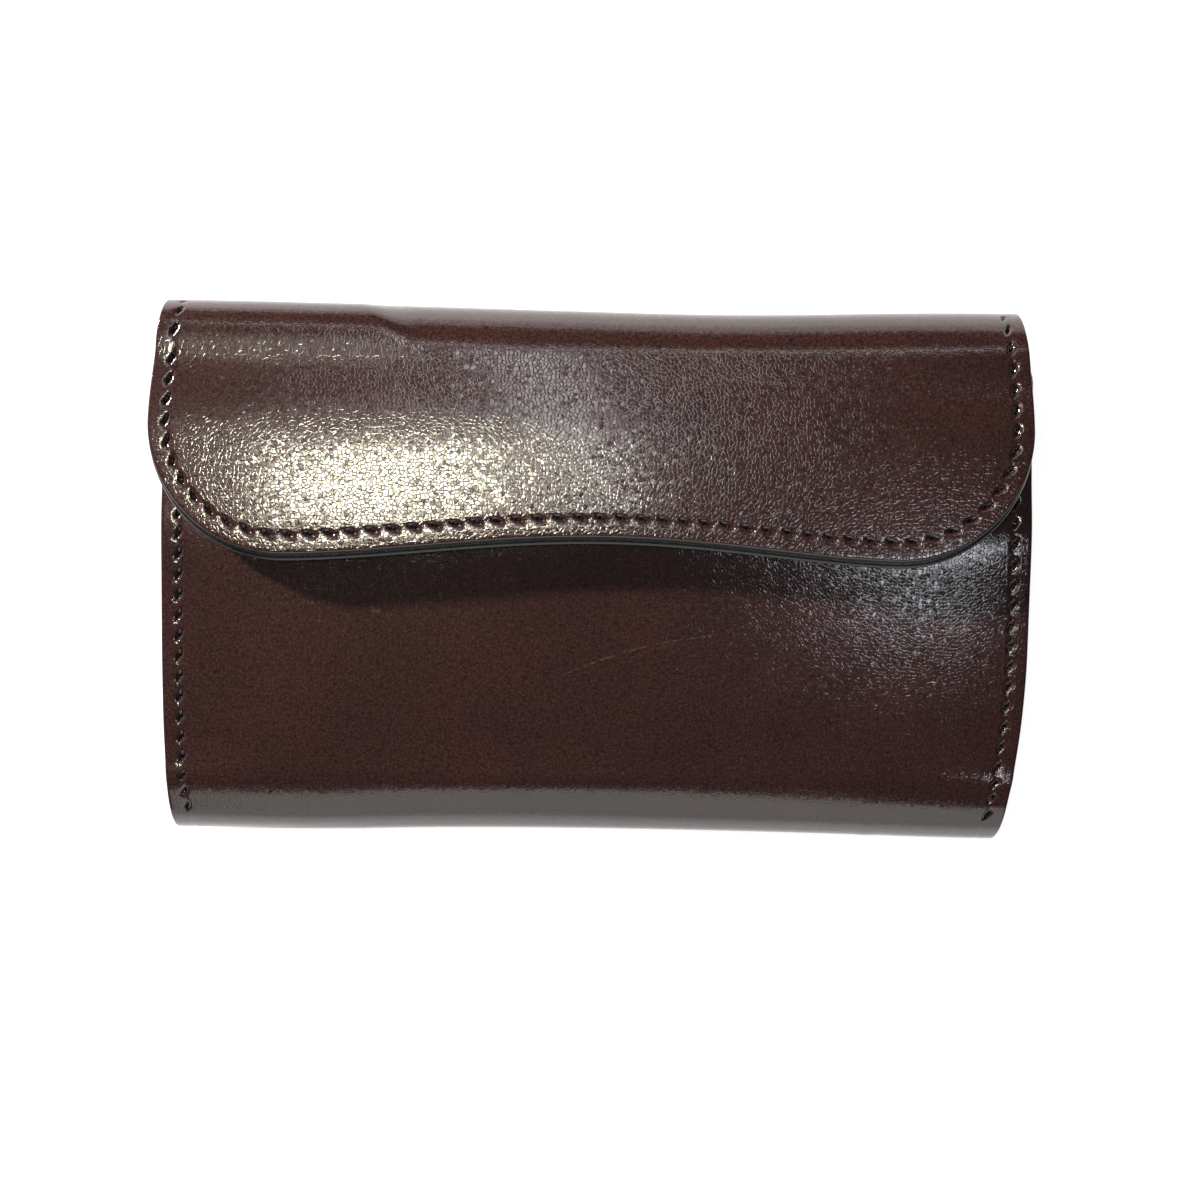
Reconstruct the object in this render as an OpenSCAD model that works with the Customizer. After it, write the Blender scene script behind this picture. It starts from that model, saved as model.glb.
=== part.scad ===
// Trifold wallet: three leather panels that fold over each other, closed by a snap under the flap.
// +X runs across the wallet, +Y from the bottom fold to the top fold, +Z up from the back panel.
// The wallet lies closed on its back. The origin is the centre of its footprint on that surface.

/* [Overall] */
// Width of the leather across the wallet
wallet_w = 140; // [120:1:170]
// Height of the closed wallet, from the bottom fold to the top fold
closed_h = 86; // [84:1:104]

/* [Leather] */
// Thickness of the outer leather
outer_t = 1.8; // [1.4:0.1:2.4]
// Thickness of the lining behind the outer leather
lining_t = 0.8; // [0.6:0.1:1.2]
// Thickness of the note pocket's wall
note_wall_t = 1.2; // [0.8:0.1:1.6]
// Thickness of the thin leather of the card and coin pockets
pocket_t = 0.8; // [0.6:0.1:1.0]
// Radius of the front panel's two free corners
front_corner_r = 5; // [3:0.5:9]

/* [Flap] */
// How far the flap's lobes reach down from the top fold
flap_reach = 41.3; // [36:0.5:50]
// Radius of the flap's two lower corners
flap_corner_r = 21; // [12:0.5:24]
// How far the flap's edge rises between its lobes
flap_wave = 3.3; // [0:0.1:8]
// Clear height between the front panel and the flap
flap_gap = 3; // [2.6:0.1:4]
// How far the flap sinks towards the top fold
flap_sag = 1.8; // [0:0.1:2]
// Radius of the two corners of the top fold
top_corner_r = 8; // [5:0.5:10]
// Radius of the two corners of the bottom fold
bottom_corner_r = 10.5; // [7:0.5:11.5]
// How far the front panel's free edge stays from the top fold's outside
front_edge_back = 6; // [5:0.5:9]

/* [Note and card pockets] */
// Clear height inside the note pocket
note_gap = 1; // [0.8:0.1:2]
// Depth of the thumb curve in the note pocket's edge
note_curve = 4; // [0:0.5:6]
// Distance from the top fold's outside to the note pocket's edge
note_edge_back = 9; // [9:0.5:14]
// Width of a payment card
card_w = 85.6; // [80:0.1:90]
// Clear height inside each card pocket
card_gap = 0.9; // [0.8:0.1:1.2]
// Distance between the mouths of neighbouring card pockets
card_step = 6; // [5:0.5:8]
// Distance from the front panel's free edge to the rear card pocket's mouth
card_mouth_back = 23; // [18:0.5:26]
// Sideways offset of the card pockets from the wallet's middle
card_offset = 4.5; // [0:0.5:8]
// Width of the glued and sewn seam of a pocket
seam_w = 2.6; // [2.4:0.1:4]

/* [Coin pocket] */
// Width of the coin pocket
coin_w = 101; // [80:1:106]
// Distance from the wallet's right edge to the coin pocket
coin_side_back = 6; // [5:0.5:12]
// Clear height inside the coin pocket
coin_gap = 5.4; // [5:0.1:7]
// Depth of the gusset's inward fold
gusset_fold = 11; // [8:0.5:14]
// How far the coin flap reaches over the coin pocket's wall
coin_flap_reach = 30; // [26:0.5:34]
// Radius of the coin flap's corners
coin_flap_r = 12; // [6:0.5:16]
// Clear height between the coin pocket's wall and its flap
coin_flap_gap = 1.8; // [1.7:0.1:2.4]
// Clear height between the coin flap's snap cap and the card pockets
stack_gap = 0.6; // [0.4:0.1:1.5]

/* [Snaps] */
// Outer radius of the main snap's socket
snap_r = 6; // [5:0.1:7]
// Distance from the flap's raised edge to the main snap's axis
snap_inset = 12; // [10:0.5:16]
// Outer radius of the coin snap's socket
coin_snap_r = 4.8; // [4:0.1:6]
// Distance from the coin flap's edge to its snap's axis
coin_snap_inset = 9; // [8:0.5:12]
// Height of the coin snap's domed cap
cap_rise = 0.7; // [0.5:0.1:1]
// Running clearance inside the snaps
snap_play = 0.1; // [0.05:0.01:0.15]

/* [Stitching] */
// Distance between stitches
stitch_pitch = 3.3; // [2.5:0.1:5]
// Distance from the leather's edge to the stitches
stitch_inset = 3; // [2.4:0.1:4]
// Diameter of the thread
thread_d = 0.6; // [0.4:0.05:0.7]

/* [Hidden] */

leather_brown = [0.16, 0.09, 0.08];
lining_brown = [0.30, 0.18, 0.12];
thread_brown = [0.36, 0.27, 0.21];
snap_metal = [0.62, 0.52, 0.34];
round_fn = 64;
arc_step = 6;
eps = 0.01;

// Half sizes
half_w = wallet_w / 2;
half_h = closed_h / 2;

// Clearances of the stitching: beside the thread, over it, and at the ends of a row
groove_play = 0.3;
thread_recess = 0.05;
row_end = 1;

// Thickness of the coin pocket's wall, and of each layer of its flap
coin_wall_t = 1;
coin_flap_t = 0.6;

// Heights of the layers, from the surface that the back panel lies on
z_back_lining = outer_t;
z_note = z_back_lining + lining_t;
z_note_wall = z_note + note_gap;
z_coin_back = z_note_wall + note_wall_t;
z_coin = z_coin_back + pocket_t;
z_coin_wall = z_coin + coin_gap;
z_coin_top = z_coin_wall + coin_wall_t;
z_coin_flap_lining = z_coin_top + coin_flap_gap;
z_coin_flap = z_coin_flap_lining + coin_flap_t;
z_coin_flap_top = z_coin_flap + coin_flap_t;
z_cards = z_coin_flap_top + cap_rise + stack_gap;
card_pitch_z = card_gap + pocket_t;
z_front_lining = z_cards + 3 * card_pitch_z;
z_front = z_front_lining + lining_t;
front_top = z_front + outer_t;
z_flap_lining = front_top + flap_gap;
z_flap = z_flap_lining + lining_t;
flap_top = z_flap + outer_t;

// Both folds, seen from the side
skin_t = outer_t + lining_t;
bottom_y = -half_h + bottom_corner_r;
bottom_z = front_top - bottom_corner_r;
top_y = half_h - top_corner_r;
top_z = flap_top - flap_sag - top_corner_r;
front_end = half_h - front_edge_back;

// Flap outline
flap_y = half_h - flap_reach;

// Pocket seams and mouths
card_play = 0.2;
note_strip_w = 5;
coin_mouth_back = 6;
coin_lip = 2.6;
coin_end_gap = 1;
seam_y = bottom_y + row_end;
note_end = half_h - note_edge_back;
card_half = card_w / 2 + seam_w + card_play;
card_mouths = [for (i = [0:2]) front_end - card_mouth_back - i * card_step];
card_floors = [for (i = [0:2]) seam_y + (2 - i) * card_step];
coin_x1 = half_w - coin_side_back;
coin_x0 = coin_x1 - coin_w;
coin_x = (coin_x0 + coin_x1) / 2;
coin_mouth = bottom_y + coin_mouth_back;
coin_end = note_end - note_curve - coin_end_gap;
coin_back_edge = coin_mouth - coin_lip;

// Coin flap: its spine stands across the mouth, and its plate lies over the wall
crease_gap = 0.3;
coin_flap_side = 1;
coin_spine_t = 2 * coin_flap_t;
coin_flap_x0 = coin_x0 + coin_flap_side;
coin_flap_x1 = coin_x1 - coin_flap_side;
coin_flap_y0 = coin_back_edge - crease_gap - coin_spine_t;
coin_flap_y1 = coin_flap_y0 + coin_flap_reach;

// Snaps: places, thicknesses, and how much smaller than the socket each disc is
snap_y = flap_y + flap_wave + snap_inset;
coin_snap_y = coin_flap_y1 - coin_snap_inset;
disc_t = 0.4;
socket_lip_t = 0.25;
head_clear = 0.3;
flange_inset = 1;
snap_clear = 1;
cap_disc_inset = 0.5;
post_disc_inset = 1.5;

// Snap proportions: heights as shares of the gap, and radii as shares of the socket's
flange_share = 0.14;
socket_low_share = 0.3;
post_share = 0.3;
bore_share = 0.6;
head_share = 0.43;
neck_share = 0.85;
hollow_share = 0.72;
wire_share = 0.045;

// Grooves that the thread lies in, and the tightest turn that a straight stitch fits through
groove_w = thread_d + groove_play;
groove_d = thread_d - thread_recess;
thin_groove_d = 0.3;
stitch_len = stitch_pitch * 0.78;
turn_r = stitch_len * stitch_len / groove_play / 2;
seam_line = 1.5;

// Points of an arc about c, from angle a0 to a1
function arc(c, r, a0, a1) =
    let (n = max(2, ceil(abs(a1 - a0) / arc_step)))
    [for (i = [0:n]) let (a = a0 + (a1 - a0) * i / n) c + r * [cos(a), sin(a)]];

// A point on a U-shaped line and its heading, at distance s along it. The U runs from y = ya along
// x0 to y = yb, across, and back along x1. The cross run rises by wave in its middle.
function u_at(s, u) =
    let (
        x0 = u[0], x1 = u[1], ya = u[2], yb = u[3], r = u[4], wave = u[5],
        d = sign(yb - ya), side = abs(yb - ya) - r, turn = PI * r / 2, run = x1 - x0 - 2 * r,
        far = side + turn + run, half = max(run / 2, eps), mid = (x0 + x1) / 2,
        a = (s - side) / r * 180 / PI, b = (s - far) / r * 180 / PI,
        x = x0 + r + s - side - turn, w = 180 * (x - mid) / half
    )
    s <= side ? [x0, ya + d * s, 90 * d]
    : s <= side + turn ? [x0 + r - r * cos(a), yb - d * r * (1 - sin(a)), d * (90 - a)]
    : s <= far ? [x, yb - d * wave * (1 + cos(w)) / 2, atan(d * wave * sin(w) * PI / half / 2)]
    : s <= far + turn ? [x1 - r + r * sin(b), yb - d * r * (1 - cos(b)), -d * b]
    : [x1, yb - d * (r + s - far - turn), -90 * d];

function u_length(u) = 2 * (abs(u[3] - u[2]) - u[4]) + PI * u[4] + u[1] - u[0] - 2 * u[4];

// A seam's line, d inside a U-shaped outline, with no turn too tight for its stitches
function u_inset(u, d) =
    [u[0] + d, u[1] - d, u[2], u[3] - sign(u[3] - u[2]) * d, max(u[4] - d, turn_r), u[5]];

// Points beside a U-shaped line, off to its left by d
function u_side(u, d) =
    let (n = ceil(u_length(u) / 2))
    [for (i = [0:n]) let (p = u_at(u_length(u) * i / n, u)) [p[0] - d * sin(p[2]), p[1] + d * cos(p[2])]];

function reversed(list) = [for (i = [len(list) - 1:-1:0]) list[i]];

// U-shaped lines: [x0, x1, ya, yb, r, wave]
flap_u = [-half_w, half_w, top_y, flap_y, flap_corner_r, flap_wave];
flap_seam = u_inset(flap_u, stitch_inset);
front_u = [-half_w, half_w, bottom_y, front_end, front_corner_r, 0];
coin_flap_u = [coin_flap_x0, coin_flap_x1, coin_flap_y0, coin_flap_y1, coin_flap_r, 0];
coin_u = [coin_x0, coin_x1, coin_mouth, coin_end, seam_w, 0];
card_u = [card_offset - card_half, card_offset + card_half, card_mouths[2], seam_y, seam_w, 0];

// The flap sinks from a whole number of stitches before the top fold, clear of its snap
flap_step = u_length(flap_seam) / floor(u_length(flap_seam) / stitch_pitch);
sag_stitches = max(1, floor((top_y - snap_y - snap_r - snap_clear) / flap_step));
sag_y = top_y - sag_stitches * flap_step;
sag_slope = flap_sag / (top_y - sag_y);

function sag_at(y) = sag_slope * max(0, y - sag_y);

// Extrudes a side view, drawn as y and z, across the wallet
module across(x0, x1) {
    translate([x0, 0, 0]) rotate([90, 0, 90]) linear_extrude(x1 - x0) children();
}

module plate(z, t) {
    translate([0, 0, z]) linear_extrude(t) children();
}

module box(x0, x1, y0, y1, z0, z1) {
    translate([x0, y0, z0]) cube([x1 - x0, y1 - y0, z1 - z0]);
}

// Part of a ring in the side view, between two angles less than 180 degrees apart
module ring_part(c, r_out, r_in, a0, a1) {
    reach = 2 * r_out;
    translate(c) intersection() {
        difference() {
            circle(r_out, $fn = round_fn);
            circle(r_in, $fn = round_fn);
        }
        polygon([[0, 0], reach * [cos(a0), sin(a0)],
            reach * 1.5 * [cos((a0 + a1) / 2), sin((a0 + a1) / 2)], reach * [cos(a1), sin(a1)]]);
    }
}

// A bend of the outer leather, or of the lining inside it
module bend(c, r, inner, a0, a1) {
    r_out = inner ? r - outer_t : r;
    r_in = inner ? r - skin_t : r - outer_t;
    color(inner ? lining_brown : leather_brown)
        across(-half_w, half_w) ring_part(c, r_out, r_in, a0, a1);
}

// The outline of the groove for a row of stitches
module ribbon(line) {
    polygon(concat(u_side(line, groove_w / 2), reversed(u_side(line, -groove_w / 2))));
}

// The groove for a row of stitches, cut from z downwards, or upwards if depth is negative
module groove(line, z, depth) {
    translate([0, 0, depth > 0 ? z - depth : z - eps]) linear_extrude(abs(depth) + eps) ribbon(line);
}

// A layer of the flap between two heights, which sinks towards the top fold
module flap_layer(z0, z1) {
    ends = [flap_y - 1, sag_y, top_y + 1];
    intersection() {
        plate(z0 - flap_sag - 1, z1 - z0 + flap_sag + 2) children();
        across(-half_w - 1, half_w + 1) polygon(concat(
            [for (y = ends) [y, z0 - sag_at(y)]], [for (y = reversed(ends)) [y, z1 - sag_at(y)]]));
    }
}

module stitch(p, z) {
    translate([p[0], p[1], z]) rotate([0, 0, p[2]]) rotate([0, 90, 0])
        cylinder(h = stitch_len, d = thread_d, center = true, $fn = 16);
}

// Shears what lies past sag_y down by the flap's slope
module sunken(y) {
    slope = y > sag_y ? sag_slope : 0;
    multmatrix([[1, 0, 0, 0], [0, 1, 0, 0], [0, -slope, 1, slope * sag_y]]) children();
}

// The flap's stitches, with the thread's centre at height z where the flap is level
module flap_stitches(z) {
    count = round(u_length(flap_seam) / flap_step);
    for (i = [0:count - 1]) {
        p = u_at((i + 0.5) * flap_step, flap_seam);
        sunken(p[1]) stitch(p, z);
    }
}

// A row of stitches along a U-shaped line, with the thread's centre at height z
module stitches(line, z) {
    count = floor(u_length(line) / stitch_pitch);
    step = u_length(line) / count;
    for (i = [0:count - 1]) stitch(u_at((i + 0.5) * step, line), z);
}

// A straight row of stitches in y
module stitch_column(x, y0, y1, z) {
    count = floor((y1 - y0) / stitch_pitch);
    step = (y1 - y0) / count;
    for (i = [0:count - 1]) stitch([x, y0 + (i + 0.5) * step, 90], z);
}

module side_columns(y0, y1, z) {
    for (side = [-1, 1]) stitch_column(side * (half_w - stitch_inset), y0, y1, z);
}

module side_grooves(y0, y1, z, depth) {
    for (side = [-1, 1]) {
        x = side * (half_w - stitch_inset);
        box(x - groove_w / 2, x + groove_w / 2, y0, y1, z - eps, z + depth);
    }
}

// ---- Back panel ----

module back_leather() {
    color(leather_brown) difference() {
        box(-half_w, half_w, bottom_y, top_y, 0, outer_t);
        side_grooves(bottom_y + row_end, top_y - row_end, 0, thread_d + 2 * thread_recess);
    }
}

module back_lining() {
    color(lining_brown) box(-half_w, half_w, bottom_y, top_y, z_back_lining, z_note);
}

// The note pocket's wall: a plate whose edge dips for a thumb, on a raised seam on three sides
module note_pocket_wall() {
    dip_r = note_curve > 0 ? (half_w * half_w / 4 + note_curve * note_curve) / (2 * note_curve) : 1;
    x = half_w - stitch_inset;
    strip = half_w - note_strip_w;
    color(lining_brown) difference() {
        union() {
            box(-half_w, half_w, seam_y, note_end, z_note_wall, z_coin_back);
            box(-half_w, -strip, seam_y, note_end, z_note, z_note_wall + eps);
            box(strip, half_w, seam_y, note_end, z_note, z_note_wall + eps);
            box(-half_w, half_w, seam_y, seam_y + seam_w, z_note, z_note_wall + eps);
        }
        if (note_curve > 0)
            translate([0, note_end - note_curve + dip_r, z_note - eps])
                cylinder(h = note_gap + note_wall_t + 2 * eps, r = dip_r, $fn = 128);
        for (side = [-1, 1])
            box(side * x - groove_w / 2, side * x + groove_w / 2, seam_y + row_end,
                note_end - row_end, z_coin_back - thin_groove_d, z_coin_back + eps);
    }
}

module back_stitching() {
    color(thread_brown) {
        side_columns(bottom_y + row_end, top_y - row_end, thread_d / 2 + thread_recess);
        side_columns(seam_y + row_end, note_end - row_end,
            z_coin_back - thin_groove_d + thread_d / 2);
    }
}

// ---- Top fold ----

module top_bend_lower_leather() { bend([top_y, top_corner_r], top_corner_r, false, -90, 0); }

module top_bend_lower_lining() { bend([top_y, top_corner_r], top_corner_r, true, -90, 0); }

module top_bend_upper_leather() { bend([top_y, top_z], top_corner_r, false, 0, 90); }

module top_bend_upper_lining() { bend([top_y, top_z], top_corner_r, true, 0, 90); }

module top_spine_leather() {
    color(leather_brown) box(-half_w, half_w, half_h - outer_t, half_h, top_corner_r, top_z);
}

module top_spine_lining() {
    color(lining_brown)
        box(-half_w, half_w, half_h - skin_t, half_h - outer_t, top_corner_r, top_z);
}

// ---- Bottom fold ----

module bottom_bend_lower_leather() {
    bend([bottom_y, bottom_corner_r], bottom_corner_r, false, 180, 270);
}

module bottom_bend_lower_lining() {
    bend([bottom_y, bottom_corner_r], bottom_corner_r, true, 180, 270);
}

module bottom_bend_upper_leather() {
    bend([bottom_y, bottom_z], bottom_corner_r, false, 90, 180);
}

module bottom_bend_upper_lining() {
    bend([bottom_y, bottom_z], bottom_corner_r, true, 90, 180);
}

module bottom_spine_leather() {
    color(leather_brown)
        box(-half_w, half_w, -half_h, outer_t - half_h, bottom_corner_r, bottom_z);
}

module bottom_spine_lining() {
    color(lining_brown)
        box(-half_w, half_w, outer_t - half_h, skin_t - half_h, bottom_corner_r, bottom_z);
}

// ---- Flap ----

module flap_leather() {
    color(leather_brown) difference() {
        flap_layer(z_flap, flap_top) polygon(u_side(flap_u, 0));
        flap_layer(flap_top - groove_d, flap_top + eps) ribbon(flap_seam);
        translate([0, snap_y, z_flap - eps])
            cylinder(h = disc_t + eps, r = snap_r - cap_disc_inset + snap_play, $fn = round_fn);
    }
}

module flap_lining() {
    color(lining_brown) difference() {
        flap_layer(z_flap_lining, z_flap) polygon(u_side(flap_u, 0));
        flap_layer(z_flap_lining - eps, z_flap_lining + thin_groove_d) ribbon(flap_seam);
        translate([0, snap_y, z_flap_lining - eps])
            cylinder(h = lining_t + 2 * eps, r = snap_post_r(snap_r) + snap_play, $fn = round_fn);
    }
}

module flap_stitching() {
    color(thread_brown) {
        flap_stitches(flap_top - groove_d + thread_d / 2);
        flap_stitches(z_flap_lining + thin_groove_d - thread_d / 2);
    }
}

// ---- Front panel ----

module front_leather() {
    color(leather_brown) difference() {
        plate(z_front, outer_t) polygon(u_side(front_u, 0));
        groove(u_inset(front_u, stitch_inset), front_top, groove_d);
        translate([0, snap_y, z_front - eps]) {
            cylinder(h = disc_t + eps, r = snap_r - post_disc_inset + snap_play, $fn = round_fn);
            cylinder(h = outer_t + 2 * eps, r = snap_post_r(snap_r) + snap_play, $fn = round_fn);
        }
    }
}

module front_lining() {
    color(lining_brown) difference() {
        plate(z_front_lining, lining_t) polygon(u_side(front_u, 0));
        groove(u_inset(front_u, stitch_inset), z_front_lining, -thin_groove_d);
    }
}

module front_stitching() {
    line = u_inset(front_u, stitch_inset);
    color(thread_brown) {
        stitches(line, front_top - groove_d + thread_d / 2);
        stitches(line, z_front_lining + thin_groove_d - thread_d / 2);
    }
}

// ---- Card pockets ----

// A card pocket: a sheet under the front panel, with a seam at both sides, the bottom, and under
// the card's edge
module card_pocket(i) {
    z = z_front_lining - (i + 1) * card_pitch_z;
    top = z + card_pitch_z;
    seam_z = z + pocket_t - eps;
    x0 = card_offset - card_half;
    x1 = card_offset + card_half;
    mouth = card_mouths[i];
    floor_y = card_floors[i];
    color(lining_brown) difference() {
        union() {
            box(x0, x1, seam_y, mouth, z, z + pocket_t);
            box(x0, x0 + seam_w, seam_y, mouth, seam_z, top);
            box(x1 - seam_w, x1, seam_y, mouth, seam_z, top);
            box(x0, x1, seam_y, seam_y + seam_w, seam_z, top);
            box(x0, x1, floor_y, floor_y + seam_w, seam_z, top);
        }
        if (i == 2) groove(u_inset(card_u, seam_line), z, -thin_groove_d);
    }
}

module card_pocket_rear() { card_pocket(0); }

module card_pocket_middle() { card_pocket(1); }

module card_pocket_front() { card_pocket(2); }

module card_stitching() {
    color(thread_brown)
        stitches(u_inset(card_u, seam_line), z_cards + thin_groove_d - thread_d / 2);
}

// ---- Snaps ----
// Each snap is drawn about its own axis, with its studded face at z = 0 and its socketed face at
// z = gap. The post holds the stud, and the cap holds the socket.

function snap_post_r(r) = r * post_share;
function snap_head_r(r) = r * head_share;
function snap_wire_r(r) = r * wire_share;
function snap_head_top(gap) = gap - disc_t - head_clear;

module snap_tube(r, z0, z1) {
    translate([0, 0, z0]) cylinder(h = z1 - z0, r = r, $fn = round_fn);
}

module snap_stud(r, gap) {
    flange = gap * flange_share;
    top = snap_head_top(gap);
    head = snap_head_r(r);
    neck = head * neck_share;
    difference() {
        rotate_extrude($fn = round_fn) polygon([
            [0, 0], [r - flange_inset, 0], [r - flange_inset, flange], [neck, flange],
            [neck, top * 0.6], [head, top * 0.75], [head * 0.8, top], [0, top]
        ]);
        snap_tube(snap_post_r(r), -eps, gap);
    }
}

module snap_post(r, gap, behind) {
    difference() {
        union() {
            snap_tube(r - post_disc_inset, -behind, disc_t - behind);
            snap_tube(snap_post_r(r), -behind, snap_head_top(gap));
        }
        snap_tube(snap_post_r(r) * bore_share, disc_t - behind, gap);
    }
}

module snap_socket(r, gap) {
    low = gap * socket_low_share;
    difference() {
        snap_tube(r, low, gap);
        snap_tube(snap_head_r(r) + 3 * snap_play, low - eps, gap + eps);
        snap_tube(r * hollow_share, low + socket_lip_t, gap - disc_t);
    }
}

// The spring ring inside the socket, open at one side
module snap_spring(r, gap) {
    wire = snap_wire_r(r);
    opening = 60;
    translate([0, 0, gap * socket_low_share + socket_lip_t + wire])
        rotate([0, 0, opening / 2]) rotate_extrude(angle = 360 - opening, $fn = round_fn)
            translate([snap_head_r(r) + snap_play + wire, 0]) circle(wire, $fn = 24);
}

// The cap: a disc behind the leather, and a tube through it that carries the socket
module snap_cap(r, gap, behind, dome) {
    back = gap + behind;
    low = gap - disc_t;
    difference() {
        union() {
            if (dome > 0) intersection() {
                dome_r = (r * r + dome * dome) / (2 * dome);
                translate([0, 0, back + dome - dome_r]) sphere(dome_r, $fn = 128);
                snap_tube(r, back, back + 2 * dome);
            }
            else snap_tube(r - cap_disc_inset, back, back + disc_t);
            snap_tube(snap_post_r(r), low, back + eps);
        }
        snap_tube(snap_post_r(r) * bore_share, low - eps, back);
    }
}

module at_main_snap() {
    color(snap_metal) translate([0, snap_y, front_top]) children();
}

module at_coin_snap() {
    color(snap_metal) translate([coin_x, coin_snap_y, z_coin_top]) children();
}

module flap_snap_cap() { at_main_snap() snap_cap(snap_r, flap_gap, lining_t, 0); }

module flap_snap_socket() { at_main_snap() snap_socket(snap_r, flap_gap); }

module flap_snap_spring() { at_main_snap() snap_spring(snap_r, flap_gap); }

module front_snap_stud() { at_main_snap() snap_stud(snap_r, flap_gap); }

module front_snap_post() { at_main_snap() snap_post(snap_r, flap_gap, outer_t); }

module coin_snap_cap() {
    at_coin_snap() snap_cap(coin_snap_r, coin_flap_gap, 2 * coin_flap_t, cap_rise);
}

module coin_snap_socket() { at_coin_snap() snap_socket(coin_snap_r, coin_flap_gap); }

module coin_snap_spring() { at_coin_snap() snap_spring(coin_snap_r, coin_flap_gap); }

module coin_snap_stud() { at_coin_snap() snap_stud(coin_snap_r, coin_flap_gap); }

module coin_snap_post() {
    at_coin_snap() snap_post(coin_snap_r, coin_flap_gap, coin_wall_t + disc_t);
}

// ---- Coin pocket ----

module coin_pocket_back() {
    color(lining_brown) box(coin_x0, coin_x1, coin_back_edge, coin_end, z_coin_back, z_coin);
}

// Side view of the gusset's inward fold: two leaves that meet at a crease, opening towards u = 0
module gusset_fold_2d() {
    mid = (z_coin + z_coin_wall) / 2;
    leaf = pocket_t;
    crease = 0.5;
    polygon([
        [0, z_coin_wall], [gusset_fold, mid + crease], [gusset_fold + leaf, mid],
        [gusset_fold, mid - crease], [0, z_coin], [0, z_coin + leaf],
        [gusset_fold - leaf, mid], [0, z_coin_wall - leaf]
    ]);
}

// One strip folded inwards along both sides and the bottom of the coin pocket
module coin_pocket_gusset() {
    color(lining_brown) {
        translate([coin_x0, coin_mouth, 0]) rotate([90, 0, 0]) mirror([0, 0, 1])
            linear_extrude(coin_end - coin_mouth) gusset_fold_2d();
        translate([coin_x1, coin_mouth, 0]) mirror([1, 0, 0]) rotate([90, 0, 0]) mirror([0, 0, 1])
            linear_extrude(coin_end - coin_mouth) gusset_fold_2d();
        translate([0, coin_end, 0]) mirror([0, 1, 0]) across(coin_x0, coin_x1) gusset_fold_2d();
    }
}

module coin_pocket_wall() {
    color(lining_brown) difference() {
        box(coin_x0, coin_x1, coin_mouth, coin_end, z_coin_wall, z_coin_top);
        groove(u_inset(coin_u, seam_line), z_coin_top, thin_groove_d);
        translate([coin_x, coin_snap_y, z_coin_wall - eps])
            cylinder(h = coin_wall_t + 2 * eps, r = snap_post_r(coin_snap_r) + snap_play,
                $fn = round_fn);
    }
}

module coin_pocket_stitching() {
    color(thread_brown)
        stitches(u_inset(coin_u, seam_line), z_coin_top - thin_groove_d + thread_d / 2);
}

// The strip that stands across the mouth when the coin flap is shut
module coin_spine_leather() {
    color(lining_brown)
        box(coin_flap_x0, coin_flap_x1, coin_flap_y0, coin_flap_y0 + coin_spine_t,
            z_coin + crease_gap, z_coin_flap_lining - crease_gap);
}

module coin_flap_leather() {
    color(lining_brown) difference() {
        plate(z_coin_flap, coin_flap_t) polygon(u_side(coin_flap_u, 0));
        groove(u_inset(coin_flap_u, seam_line), z_coin_flap_top, thin_groove_d);
        coin_flap_hole();
    }
}

module coin_flap_lining() {
    color(lining_brown) difference() {
        plate(z_coin_flap_lining, coin_flap_t) polygon(u_side(coin_flap_u, 0));
        coin_flap_hole();
    }
}

module coin_flap_hole() {
    translate([coin_x, coin_snap_y, z_coin_flap_lining - eps])
        cylinder(h = 3 * coin_flap_t, r = snap_post_r(coin_snap_r) + snap_play, $fn = round_fn);
}

module coin_flap_stitching() {
    color(thread_brown)
        stitches(u_inset(coin_flap_u, seam_line), z_coin_flap_top - thin_groove_d + thread_d / 2);
}

back_leather();
back_lining();
note_pocket_wall();
back_stitching();
coin_pocket_back();
coin_pocket_gusset();
coin_pocket_wall();
coin_pocket_stitching();
coin_snap_stud();
coin_snap_post();
coin_spine_leather();
coin_flap_leather();
coin_flap_lining();
coin_flap_stitching();
coin_snap_cap();
coin_snap_socket();
coin_snap_spring();
top_bend_lower_leather();
top_bend_lower_lining();
top_spine_leather();
top_spine_lining();
top_bend_upper_leather();
top_bend_upper_lining();
flap_leather();
flap_lining();
flap_stitching();
flap_snap_cap();
flap_snap_socket();
flap_snap_spring();
bottom_bend_lower_leather();
bottom_bend_lower_lining();
bottom_spine_leather();
bottom_spine_lining();
bottom_bend_upper_leather();
bottom_bend_upper_lining();
front_leather();
front_lining();
front_stitching();
front_snap_stud();
front_snap_post();
card_pocket_rear();
card_pocket_middle();
card_pocket_front();
card_stitching();
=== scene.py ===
"""Looks of the trifold wallet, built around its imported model.

Lengths are in metres. Every piece of leather is cut flat, in the hide's own coordinates (x across the
wallet, s along the hide), gets its painted edge and stitch holes there, and is then folded into place.
Grain, colour and wear follow the same flat coordinates, so that they run on over the folds.
"""
import math

import bmesh
import bpy
import numpy as np
from mathutils import Euler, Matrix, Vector
from mathutils.geometry import delaunay_2d_cdt


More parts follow.
